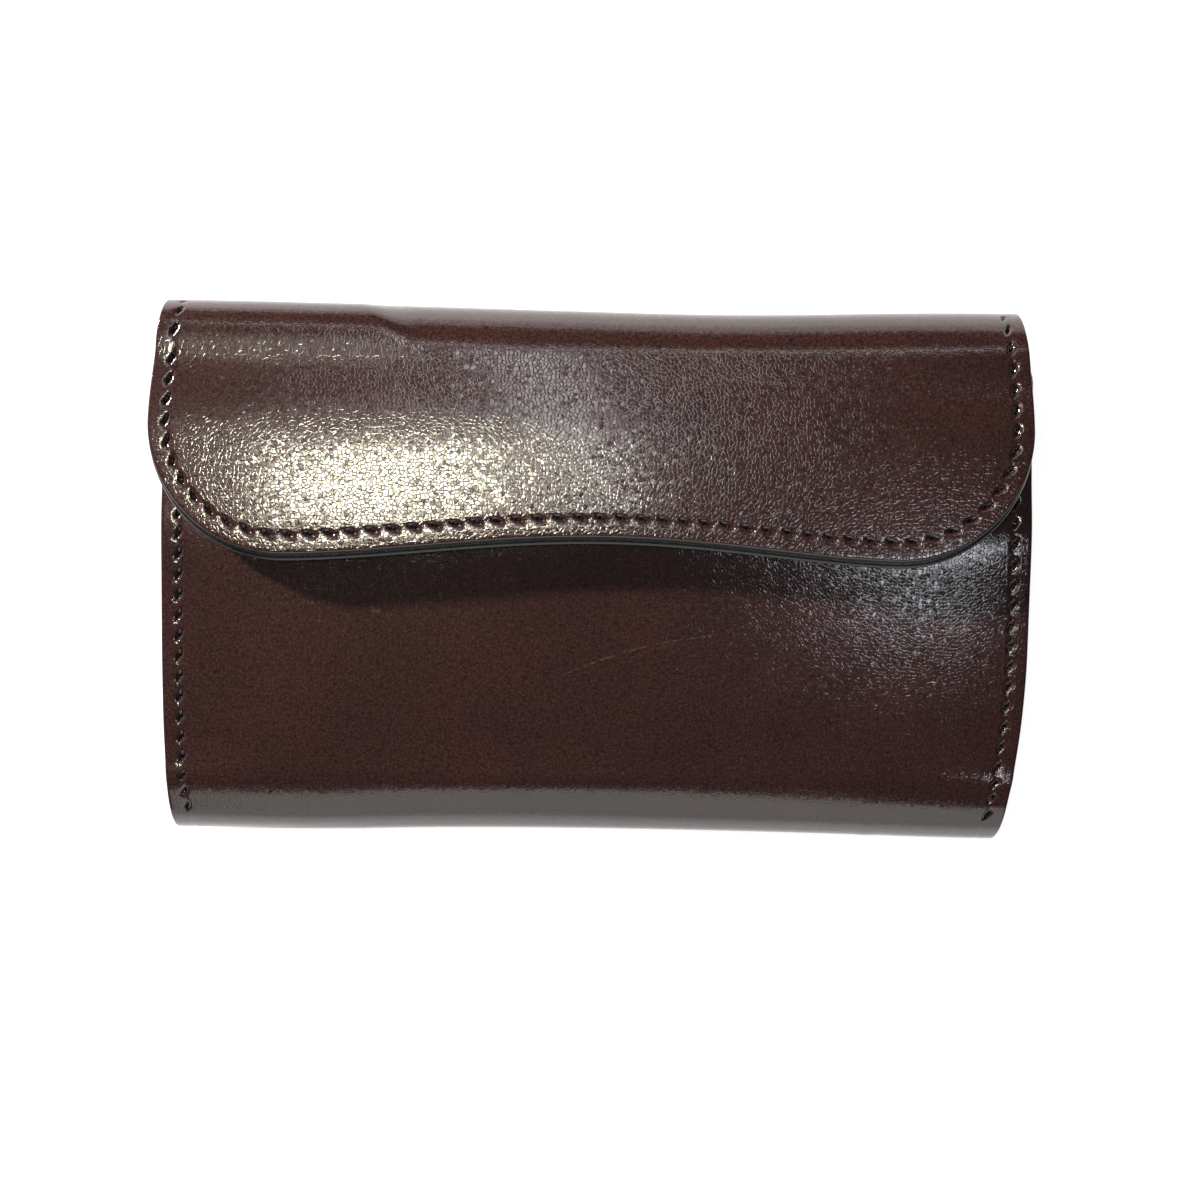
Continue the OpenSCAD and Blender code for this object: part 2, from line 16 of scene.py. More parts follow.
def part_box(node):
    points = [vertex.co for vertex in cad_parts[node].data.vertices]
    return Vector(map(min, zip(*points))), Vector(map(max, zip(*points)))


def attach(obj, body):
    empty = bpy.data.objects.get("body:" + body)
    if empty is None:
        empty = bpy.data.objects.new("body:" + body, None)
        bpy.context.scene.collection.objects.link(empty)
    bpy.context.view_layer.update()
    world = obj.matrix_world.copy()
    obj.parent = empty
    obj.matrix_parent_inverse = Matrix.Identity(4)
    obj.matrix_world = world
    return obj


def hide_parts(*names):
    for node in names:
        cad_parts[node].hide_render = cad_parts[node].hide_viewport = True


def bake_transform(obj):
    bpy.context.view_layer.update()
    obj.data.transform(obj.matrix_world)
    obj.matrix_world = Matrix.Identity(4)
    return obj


MM = 0.001
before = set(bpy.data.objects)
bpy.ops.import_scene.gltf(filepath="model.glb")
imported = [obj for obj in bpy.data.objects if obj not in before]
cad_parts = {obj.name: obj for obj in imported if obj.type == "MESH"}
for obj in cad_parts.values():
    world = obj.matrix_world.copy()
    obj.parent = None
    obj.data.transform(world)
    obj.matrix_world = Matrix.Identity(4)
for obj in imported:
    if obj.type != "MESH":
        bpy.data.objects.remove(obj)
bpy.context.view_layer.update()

# ---- Sizes from the frame ----

BACK_LOW, BACK_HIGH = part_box("back_leather")
LINING_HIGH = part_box("back_lining")[1]
TOP_LOW, TOP_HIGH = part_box("top_spine_leather")
BOTTOM_LOW, BOTTOM_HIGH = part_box("bottom_spine_leather")
FLAP_LOW, FLAP_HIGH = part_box("flap_leather")
FRONT_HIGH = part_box("front_leather")[1]

HALF_W = BACK_HIGH.x
TOP_Y, BOTTOM_Y = BACK_HIGH.y, BACK_LOW.y
HALF_H = TOP_HIGH.y
TOP_R, BOTTOM_R = HALF_H - TOP_Y, HALF_H + BOTTOM_Y
FLAP_TOP, FRONT_TOP = FLAP_HIGH.z, FRONT_HIGH.z
FRONT_END = FRONT_HIGH.y

# The thickness of the hide, and of the hide and its lining together, in millimetres.
HIDE_T = round(BACK_HIGH.z / MM, 3)
BOTH_T = round(LINING_HIGH.z / MM, 3)

# ---- Sizes of the finish ----

# A seam has PER_STITCH mesh stations to a stitch and lies SEAM inside the leather's face edge. The
# flap's face edge stops EDGE_REACH short of the solid flap's end, up to which the layers under it
# come out. CELL, TURN_CELL and PANEL_CELL are the grids of the hide, of its folds and of the pockets.
STITCH = 3.3 * MM
PER_STITCH = 8
STEP = STITCH / PER_STITCH
SEAM = 2.85 * MM
PANEL_SEAM = 1.45 * MM
EDGE_REACH = 1.25 * MM
HOLE_DEPTH = 0.75 * MM
HOLE_SPREAD = 0.4 * MM
THREAD_R = 0.26 * MM
CELL, TURN_CELL, PANEL_CELL = 2.1 * MM, 0.9 * MM, 2.6 * MM
SHARP = math.radians(68)
FLAP_CORNER = 21 * MM
FLAP_WAVE = 3.3 * MM
FRONT_CORNER = 5 * MM
PANEL_CORNER = 2 * MM
COIN_FLAP_CORNER = 12 * MM
THUMB_DIP = 4 * MM
QUARTER = math.pi / 2


def smooth(a, b, x):
    """0 on a's side, 1 on b's side, and a smooth step between them."""
    t = np.clip((x - a) / (b - a), 0, 1)
    return t * t * (3 - 2 * t)


def bell(x, centre, width):
    """1 at the centre, and falling off on both sides."""
    return np.exp(-((x - centre) / width) ** 2)


# ---- Folding: from flat coordinates to the closed wallet ----

# How far a fully squared turn leaves the circle: 0 keeps it, and 1 is a sharp corner.
SQUARING = 0.45


def as_arrays(*values):
    return np.broadcast_arrays(*(np.asarray(v, float) for v in values))


def unit(rows):
    return rows / np.linalg.norm(rows, axis=1, keepdims=True)


class Fold:
    """A side view made of straight runs and quarter turns to the right, with the grain on its left.
    It starts at a point (y, z) and heads towards y. Stops are the flat coordinates between runs, and
    shape gives the lift, the sideways shift and the squareness at flat coordinates."""

    def __init__(self, start, runs, shape=None):
        self.shape = shape
        self.runs = []
        self.stops = [0.0]
        here = np.array(start)
        angle = 0.0
        for kind, size in runs:
            ahead = np.array([math.cos(angle), math.sin(angle)])
            left = np.array([-ahead[1], ahead[0]])
            if kind == "run":
                self.runs.append((kind, here, ahead, left, size))
                here = here + ahead * size
                length = size
            else:
                centre = here - left * size
                self.runs.append((kind, centre, ahead, left, size))
                here = centre + ahead * size
                length = QUARTER * size
                angle -= QUARTER
            self.stops.append(self.stops[-1] + length)

    def turns(self):
        return [(a, b) for (kind, *_), a, b in zip(self.runs, self.stops, self.stops[1:])
                if kind == "turn"]

    def place(self, x, s, h):
        """Points and normals for flat coordinates x and s, at height h over the grain side."""
        x, s, h = as_arrays(x, s, h)
        side = np.zeros(x.shape + (2,))
        normal = np.zeros(x.shape + (2,))
        lift, shift, square = self.shape(x, s)
        for i, (kind, origin, ahead, left, size) in enumerate(self.runs):
            after = s >= self.stops[i] if i else np.full(s.shape, True)
            before = s < self.stops[i + 1] if i < len(self.runs) - 1 else np.full(s.shape, True)
            m = after & before
            d = s[m] - self.stops[i]
            if kind == "run":
                side[m] = origin + np.outer(d, ahead)
                normal[m] = left
            else:
                power = 1 - SQUARING * square[m]
                turned = np.clip(d / size, 0, QUARTER)
                c, t = np.cos(turned), np.sin(turned)
                side[m] = origin + size * (np.outer(c ** power, left) + np.outer(t ** power, ahead))
                normal[m] = unit(np.outer(c ** (2 - power), left) + np.outer(t ** (2 - power), ahead))
        side += normal * (lift + h)[..., None]
        points = np.stack([x + shift, side[..., 0], side[..., 1]], -1)
        normals = np.stack([0 * x, normal[..., 0], normal[..., 1]], -1)
        return points, normals


class Flat:
    """A flat panel at height z, whose shown side faces up (1) or down (-1). Here s is y. A bulged
    one follows the front panel's bulge."""

    def __init__(self, z, facing, bulged):
        self.z, self.facing, self.bulged = z, facing, bulged

    def turns(self):
        return []

    def place(self, x, s, h):
        x, s, h = as_arrays(x, s, h)
        bulge = wallet_lift(x, BOTTOM_END + s - BOTTOM_Y) if self.bulged else 0
        points = np.stack([x, s, self.z + self.facing * h + bulge], -1)
        normals = np.zeros(points.shape)
        normals[..., 2] = self.facing
        return points, normals


TOP_RUN = TOP_HIGH.z - TOP_LOW.z
BOTTOM_RUN = BOTTOM_HIGH.z - BOTTOM_LOW.z
FLAP_RUN = TOP_Y - FLAP_LOW.y
FLAP_SAG = FLAP_TOP - TOP_HIGH.z - TOP_R
START = (FLAP_LOW.y, FLAP_TOP - FLAP_SAG)
RUNS = [("run", FLAP_RUN), ("turn", TOP_R), ("run", TOP_RUN), ("turn", TOP_R),
        ("run", TOP_Y - BOTTOM_Y), ("turn", BOTTOM_R), ("run", BOTTOM_RUN), ("turn", BOTTOM_R),
        ("run", FRONT_END - BOTTOM_Y)]
STOPS = Fold(START, RUNS).stops
FLAP_END, TOP_SPINE_START, TOP_SPINE_END, TOP_END = STOPS[1:5]
BACK_END, BOTTOM_SPINE_START, BOTTOM_SPINE_END, BOTTOM_END, HIDE_END = STOPS[5:]
MID_TOP = (TOP_SPINE_START + TOP_SPINE_END) / 2
MID_BACK = (TOP_END + BACK_END) / 2
MID_BOTTOM = (BOTTOM_SPINE_START + BOTTOM_SPINE_END) / 2

# How the leather departs from flat panels and round folds, in millimetres: places first, then lifts.
ACROSS_TOP = ((-64, -46, -38, -30, -14, 2, 17, 33, 49, 64),
              (0.75, 0.6, 0.45, 0.45, 0.15, -0.1, -0.35, -0.15, 0.4, 0.6))
ACROSS_BOTTOM = ((-64, -54, -38, -30, -14, 2, 17, 33, 49, 64),
                 (0.3, 0.5, 0.35, 0.0, -0.2, -0.2, -0.05, 0.15, 0.45, 0.75))
# Places along the flap count from its free end. Places along the front count back from where it
# leaves the bottom fold, so that those on the panel are negative, or back from its free end.
ALONG_FLAP = ((-2, 0, 3, 8, 22, 26, 30, 33.3, 37, 41),
              (2.1, 2.15, 2.2, 2.25, 2.1, 1.7, 1.0, 0.3, 0, 0))
ALONG_FRONT = ((-55, -50, -47, -42, -37, -32, -27, -22, -12, -6, -2, 1, 4, 7, 10, 14, 18),
               (0, 0, 0.2, 0.9, 0.75, 0.3, -0.1, -0.45, -1.2, -1.7, -2.1, -2.3, -2.3, -1.9, -1.2, -0.4, 0))
AT_FRONT_END = ((0, 8, 18, 30), (-0.5, -0.3, -0.1, 0))
# How far the sides draw in at the top fold and at the bottom fold, at places that count in the same
# two ways.
TOP_PINCH = ((20, 27, 33, 38, 42, 46, 58), (0, 0.2, 0.6, 1.1, 1.5, 1.5, 0))
BOTTOM_PINCH = ((-18, -8, 0, 4, 9, 13, 17, 26, 34), (0, 0.25, 0.75, 1.05, 1.35, 1.75, 1.9, 1.4, 0))
# The edges of the cards inside, which press through the bottom fold.
CARD_EDGES = (-38.2 * MM, 46.2 * MM)


def curve(x, table, soft=5.0):
    """A smooth line through a table in millimetres."""
    x = np.asarray(x) / MM
    taps = ((-2, 0.1), (-1, 0.25), (0, 0.3), (1, 0.25), (2, 0.1))
    return sum(w * np.interp(x + k * soft, *table) for k, w in taps) * MM


def right_half(x):
    return smooth(-20 * MM, 20 * MM, x)


def wallet_lift(x, s):
    """How far the leather stands over its panels and folds, or sinks under them if negative."""
    edge = np.abs(x) / HALF_W
    on_top = smooth(FLAP_END - 5 * MM, FLAP_END + 7 * MM, s) * (1 - smooth(TOP_END - 6 * MM, TOP_END, s))
    on_bottom = smooth(BACK_END, BACK_END + 7 * MM, s)
    on_bottom = on_bottom * (1 - smooth(BOTTOM_END - 12 * MM, BOTTOM_END - 2 * MM, s))
    lift = on_top * curve(x, ACROSS_TOP)
    lift += on_bottom * curve(x, ACROSS_BOTTOM)
    lift += curve(s, ALONG_FLAP, 2.5)
    lift += curve(BOTTOM_END - s, ALONG_FRONT, 1.6) * (0.9 + 0.3 * right_half(x))
    lift += curve(HIDE_END - s, AT_FRONT_END, 3.0)
    # The flap and the front are faintly wavy, and roll down a little at their sides.
    on_flap = 1 - smooth(FLAP_END - 2 * MM, FLAP_END + 2 * MM, s)
    on_front = smooth(BOTTOM_END - 2 * MM, BOTTOM_END + 2 * MM, s)
    lift += on_flap * (0.10 * MM * np.sin(x * 95 + s * 60 + 0.6) - 0.35 * MM * edge ** 7)
    lift += on_front * (0.08 * MM * np.sin(x * 70 - s * 55 + 1.9) - 0.3 * MM * edge ** 8)
    ribs = sum(bell(x, at, 0.9 * MM) for at in CARD_EDGES)
    return lift + 0.12 * MM * ribs * bell(s, BOTTOM_SPINE_START + 2 * MM, 9 * MM)


def wallet_shift(x, s):
    """How far the leather moves sideways: a wider flap and front, and sides drawn in at the folds."""
    edge = np.abs(x) / HALF_W
    right = right_half(x)
    shift = 0.0085 * x * (1 - smooth(FLAP_END - 12 * MM, FLAP_END + 10 * MM, s))
    shift += smooth(BACK_END + 10 * MM, BOTTOM_END + 20 * MM, s) * (0.0055 * x + 1.05 * MM)
    pinch = curve(s, TOP_PINCH, 2.0) * (1 - 0.35 * right)
    pinch += curve(BOTTOM_END - s, BOTTOM_PINCH, 2.0) * (1 + 0.25 * right)
    return shift - np.sign(x) * pinch * smooth(0.55, 1.0, edge)


def wallet_square(x, s):
    """How square the turns are: the top fold is squarer left of a slanting line."""
    slant = -35.5 * MM + 0.5 * (TOP_SPINE_START - s)
    return 0.85 * smooth(slant + 3.5 * MM, slant - 3.5 * MM, x) * (s < TOP_SPINE_END)


def wallet_shape(x, s):
    return wallet_lift(x, s), wallet_shift(x, s), wallet_square(x, s)


WALLET = Fold(START, RUNS, wallet_shape)


# ---- Cutting: outlines with seams along them ----

class Border:
    """A sewn edge: points on its seam line, PER_STITCH to a stitch, and its outward direction.
    Sewn tells which points carry stitches."""

    def __init__(self, line, sewn, closed=False, reach=None, seam=SEAM):
        line = np.asarray(line, float)
        self.seam = seam
        self.closed = closed
        if closed:
            line = np.vstack([line, line[:1]])
        along = np.concatenate([[0], np.cumsum(np.linalg.norm(np.diff(line, axis=0), axis=1))])
        count = max(1, round(along[-1] / STITCH)) * PER_STITCH
        at = np.linspace(0, along[-1], count + 1)

        def on_line(distance):
            return np.stack([np.interp(distance, along, line[:, k]) for k in (0, 1)], -1)

        near = 0.15 * MM
        self.points = on_line(at)
        ahead = on_line(at + near) - on_line(at - near)
        if closed:
            ahead[0] = ahead[-1] = ahead[0] + ahead[-1]
        ahead = unit(ahead)
        self.out = np.stack([ahead[:, 1], -ahead[:, 0]], -1)
        if closed:
            self.points, self.out = self.points[:-1], self.out[:-1]
        self.reach = reach(self.out) if reach else np.ones(len(self.points))
        self.sewn = sewn(self.points)

    def ring(self, inset):
        """The points at a distance inside the leather's face edge, or outside it if negative."""
        out = self.seam - inset if inset >= 0 else self.seam - inset * self.reach
        return self.points + self.out * np.reshape(out, (-1, 1))


def flap_line():
    """The flap's seam line, from the left end of the top fold round its lower edge to the right."""
    x = HALF_W - SEAM
    r = FLAP_CORNER - SEAM
    edge = EDGE_REACH + SEAM
    crest_power, lean_size = 0.8, 0.45 * MM
    left = [(-x, s) for s in np.linspace(MID_TOP, edge + r, 90)]
    turn = np.linspace(0, QUARTER, 60)[1:]
    left += [(-x + r - r * math.cos(a), edge + r - r * math.sin(a)) for a in turn]
    half = x - r
    run = []
    for u in np.linspace(-half, half, 160)[1:]:
        crest = ((1 + math.cos(math.pi * u / half)) / 2) ** crest_power
        lean = lean_size * (u / half) * math.sin(math.pi * (u / half + 1) / 2) ** 2
        run.append((u, edge + FLAP_WAVE * crest + lean))
    right = [(x - r + r * math.sin(a), edge + r - r * math.cos(a)) for a in turn]
    right += [(x, s) for s in np.linspace(edge + r, MID_TOP, 90)[1:]]
    return left + run + right


def side_line(side, s0, s1):
    """A straight seam line beside the back, on the right (1) or the left (-1)."""
    x = side * (HALF_W - SEAM)
    return [(x, s) for s in np.linspace(s0, s1, 120)]


def front_line():
    """The front panel's seam line, from the right end of the bottom fold round to the left."""
    x = HALF_W - SEAM
    r = FRONT_CORNER - SEAM
    end = HIDE_END - SEAM
    turn = np.linspace(0, QUARTER, 24)[1:]
    line = [(x, s) for s in np.linspace(MID_BOTTOM, end - r, 160)]
    line += [(x - r + r * math.cos(a), end - r + r * math.sin(a)) for a in turn]
    line += [(u, end) for u in np.linspace(x - r, -x + r, 160)[1:]]
    line += [(-x + r - r * math.sin(a), end - r + r * math.cos(a)) for a in turn]
    return line + [(-x, s) for s in np.linspace(end - r, MID_BOTTOM, 160)[1:]]


def loop_line(box, radii, inset, dip=0.0):
    """A closed line round a sheet, moved inwards. Radii are its lower and upper corners', and a
    dip is the depth of a thumb curve in its upper edge, which spans half the wallet's width."""
    (x0, y0), (x1, y1) = box
    x0, x1, y0, y1 = x0 + inset, x1 - inset, y0 + inset, y1 - inset
    low, high = (max(r - inset, 0.3 * MM) for r in radii)
    line = []
    for cx, cy, r, a0 in ((x1 - low, y0 + low, low, -90), (x1 - high, y1 - high, high, 0),
                          (x0 + high, y1 - high, high, 90), (x0 + low, y0 + low, low, 180)):
        for a in np.radians(np.linspace(a0, a0 + 90, 16)):
            line.append((cx + r * math.cos(a), cy + r * math.sin(a)))
        if dip and a0 == 0:
            reach = HALF_W / 2
            bend = (reach ** 2 + dip ** 2) / (2 * dip)
            for x in np.linspace(reach, -reach, 60):
                line.append((x, y1 - dip + bend - math.sqrt(bend ** 2 - x ** 2)))
    return line


def edge_reach(out):
    """The edge shows most where it faces the flap's lower end, and hardly at the sides."""
    return 0.3 + 0.7 * np.clip(-out[:, 1], 0, 1) ** 1.5


# ---- Meshes ----

# Material slots of a sheet; slot 1 is the painted edge.
GRAIN_SLOT, FLESH_SLOT = 0, 2


def inside(points, loop):
    """Which points lie inside a closed loop."""
    x, y = points[:, :1], points[:, 1:]
    a, b = loop, np.roll(loop, -1, axis=0)
    crosses = (a[:, 1] > y) != (b[:, 1] > y)
    dy = np.where(b[:, 1] == a[:, 1], 1e-12, b[:, 1] - a[:, 1])
    left = x < (b[:, 0] - a[:, 0]) * (y - a[:, 1]) / dy + a[:, 0]
    return (crosses & left).sum(1) % 2 == 1


def fill(loop, turns, cell):
    """Triangles inside a loop, on its own points and a grid that is finer where the hide turns."""
    low, high = loop.min(0), loop.max(0)
    rows = [low[1] + cell / 2]
    while rows[-1] < high[1]:
        bending = any(a - 2 * MM < rows[-1] < b + MM for a, b in turns)
        rows.append(rows[-1] + (TURN_CELL if bending else cell))
    columns = np.arange(low[0] + cell / 2, high[0], cell)
    grid = np.array([(x, s) for s in rows for x in columns])
    grid = grid[inside(grid, loop)]
    gap = np.array([np.min(np.sum((loop - p) ** 2, axis=1)) for p in grid]) ** 0.5
    clear, inner_only, near = 0.55 * MM, 1, 1e-5
    points = np.vstack([loop, grid[gap > clear]])
    rim = list(range(len(loop)))
    found = delaunay_2d_cdt([Vector(p * (1 / MM)) for p in points], [], [rim], inner_only, near)
    faces, origin = found[2:4]
    index = [o[0] for o in origin]
    return points, [[index[v] for v in f] for f in faces]


def mark_flat(mesh, flat):
    """Keep each point's flat coordinates, in millimetres, for the materials."""
    layer = mesh.attributes.new("flat", "FLOAT_VECTOR", "POINT")
    layer.data.foreach_set("vector", (np.asarray(flat, float) / MM).astype(np.float32).ravel())


def make(name, points, faces, materials, slots=None, flat=None, pit=None):
    """A smooth-shaded mesh, with its flat coordinates and stitch holes as attributes."""
    mesh = bpy.data.meshes.new(name)
    mesh.from_pydata(np.asarray(points, float).tolist(), [], faces)
    for material in materials:
        mesh.materials.append(material)
    if slots is not None:
        mesh.polygons.foreach_set("material_index", np.asarray(slots, np.int32))
    mesh.polygons.foreach_set("use_smooth", np.ones(len(mesh.polygons), bool))
    mark_flat(mesh, points if flat is None else flat)
    holes = mesh.attributes.new("pit", "FLOAT", "POINT")
    if pit is not None:
        holes.data.foreach_set("value", np.asarray(pit, np.float32))
    mesh.validate()
    mesh.update()
    item = bpy.data.objects.new(name, mesh)
    bpy.context.scene.collection.objects.link(item)
    return item


def turn_outwards(item):
    work = bmesh.new()
    work.from_mesh(item.data)
    bmesh.ops.recalc_face_normals(work, faces=work.faces)
    work.to_mesh(item.data)
    work.free()


def hole_share(stations, shift, closed):
    """How deep each station lies in a stitch hole: 1 in its middle, less beside it, else 0."""
    i = (np.arange(stations) + shift) % PER_STITCH
    i = np.minimum(i, PER_STITCH - i)
    share = np.select([i == 0, i == 1], [1.0, 0.7], 0.0)
    if not closed:
        share[:3] = share[-3:] = 0
    return share


class Sheet:
    """The points and faces of one piece of leather while it is being cut and folded."""

    def __init__(self, fold):
        self.fold = fold
        self.points, self.flats, self.pits = [], [], []
        self.faces, self.slots = [], []

    def add(self, flat, h, pit=None):
        """Fold flat points at height h, and give their numbers."""
        start = len(self.points)
        placed, _ = self.fold.place(flat[:, 0], flat[:, 1], h)
        self.points.extend(placed)
        self.flats.extend(np.column_stack([flat, np.broadcast_to(h, len(flat))]))
        self.pits.extend(np.zeros(len(flat)) if pit is None else pit)
        return list(range(start, len(self.points)))

    def face(self, corners, slot):
        self.faces.append(corners)
        self.slots.append(slot)

    def ring(self, border, inset, height, slot, open_height):
        """One ring of a border, with its stitch holes if it lies on the seam. The holes slant, so
        that they lie a station further on in the ring before the seam's and after it, and there
        they are shallower."""
        off = inset - border.seam
        shown = height > -BOTH_T * MM / 2
        pit = np.zeros(len(border.points))
        if abs(off) < HOLE_SPREAD and slot == GRAIN_SLOT:
            side = round(off / (0.3 * MM))
            pit = hole_share(len(pit), side if shown else -side, border.closed) * border.sewn
        drop = HOLE_DEPTH * pit * (0.65 if abs(off) > 0.1 * MM else 1)
        h = np.where(border.sewn, height, open_height) + (-drop if shown else drop)
        return self.add(border.ring(inset), h, pit)


def cut_sheet(name, fold, borders, profile, materials, cell=CELL):
    """A closed sheet. Profile gives rings from the shown side round the edge to the hidden side:
    (inset, height, slot up to the next ring, height where unsewn). Open borders are joined by
    straight cuts."""
    sheet = Sheet(fold)
    closed = borders[0].closed
    rims = []
    for border in borders:
        rims.append([sheet.ring(border, *ring) for ring in profile])
        for (near, far), (_, _, slot, _) in zip(zip(rims[-1], rims[-1][1:]), profile):
            for i in range(len(near) if closed else len(near) - 1):
                j = (i + 1) % len(near)
                sheet.face([near[i], near[j], far[j], far[i]], slot)

    inset, top_h = profile[0][:2]
    low_h = profile[-1][1]
    loop, top, low = [], [], []
    for b, border in enumerate(borders):
        rim = rims[b]
        loop.extend(border.ring(inset))
        top.extend(rim[0])
        low.extend(rim[-1])
        if closed:
            continue
        following = (b + 1) % len(borders)
        after = rims[following]
        p, q = border.ring(inset)[-1], borders[following].ring(inset)[0]
        count = max(2, round(np.linalg.norm(q - p) / cell))
        cut = np.array([p + (q - p) * i / count for i in range(1, count)])
        loop.extend(cut)
        top_cut, low_cut = sheet.add(cut, top_h), sheet.add(cut, low_h)
        top.extend(top_cut)
        low.extend(low_cut)
        upper = [rim[0][-1]] + top_cut + [after[0][0]]
        lower = [rim[-1][-1]] + low_cut + [after[-1][0]]
        for i in range(count):
            sheet.face([upper[i], upper[i + 1], lower[i + 1], lower[i]], FLESH_SLOT)
        sheet.face([ring[-1] for ring in rim], FLESH_SLOT)
        sheet.face([ring[0] for ring in after][::-1], FLESH_SLOT)

    flat_points, triangles = fill(np.array(loop), fold.turns(), cell)
    inner = flat_points[len(loop):]
    top += sheet.add(inner, top_h)
    low += sheet.add(inner, low_h)
    for f in triangles:
        sheet.face([top[v] for v in f], profile[0][2])
    for f in triangles:
        sheet.face([low[v] for v in f][::-1], profile[-1][2])
    item = make(name, sheet.points, sheet.faces, materials, sheet.slots, sheet.flats, sheet.pits)
    turn_outwards(item)
    item.data.set_sharp_from_angle(angle=SHARP)
    return item


def sew(name, fold, borders, height, facing=1):
    """The thread on one side of a seam: a slanted two-ply stitch from each hole to the next.
    Gap is how far it stays off the holes' middles, in stations. Slant, sink and rise are how far it
    crosses the seam line, dips at its ends and comes back up, in millimetres."""
    across, along = 10, 11
    gap, slant, sink, rise = 1.25, 0.42, 1.0, 0.82
    points, faces, flats = [], [], []
    t = np.linspace(0, 1, along)
    arch = np.sin(np.pi * np.clip(t, 0.02, 0.98)) ** 0.35
    for border in borders:
        n = len(border.points)
        first, last = (0, n) if border.closed else (PER_STITCH, n - PER_STITCH - 1)
        for k in range(first, last, PER_STITCH):
            if not border.sewn[k % n] or not border.sewn[(k + PER_STITCH) % n]:
                continue
            wobble = math.sin(k * 1.7 + border.points[k % n][0] * 900)
            at = k + gap + (PER_STITCH - 2 * gap) * t
            i = np.floor(at).astype(int)
            f = (at - i)[:, None]
            base = border.points[i % n] * (1 - f) + border.points[(i + 1) % n] * f
            out = border.out[i % n] * (1 - f) + border.out[(i + 1) % n] * f
            base = base + out * ((0.5 - t) * facing * (slant + 0.05 * wobble) * MM)[:, None]
            h = height + facing * ((rise * arch - sink) * MM + 0.03 * MM * wobble)
            centre, normal = fold.place(base[:, 0], base[:, 1], h)
            ahead = unit(np.gradient(centre, axis=0))
            wide = unit(np.cross(ahead, normal * facing))
            up = np.cross(wide, ahead)
            start = len(points)
            for r in range(along):
                for c in range(across):
                    a = 2 * math.pi * c / across
                    ply = THREAD_R * (1 + 0.14 * math.cos(2 * (a - 5.5 * t[r] * facing)))
                    points.append(centre[r] + wide[r] * 1.18 * ply * math.cos(a)
                                  + up[r] * 0.95 * ply * math.sin(a))
                    flats.append((k * STEP + t[r] * STITCH, a * THREAD_R, 0))
            for r in range(along - 1):
                for c in range(across):
                    d = (c + 1) % across
                    row, following = start + r * across, start + (r + 1) * across
                    faces.append([row + c, row + d, following + d, following + c])
            faces.append([start + c for c in range(across)][::-1])
            faces.append([start + (along - 1) * across + c for c in range(across)])
    item = make(name, points, faces, [THREAD], flat=flats)
    turn_outwards(item)
    return item


# ---- Materials ----

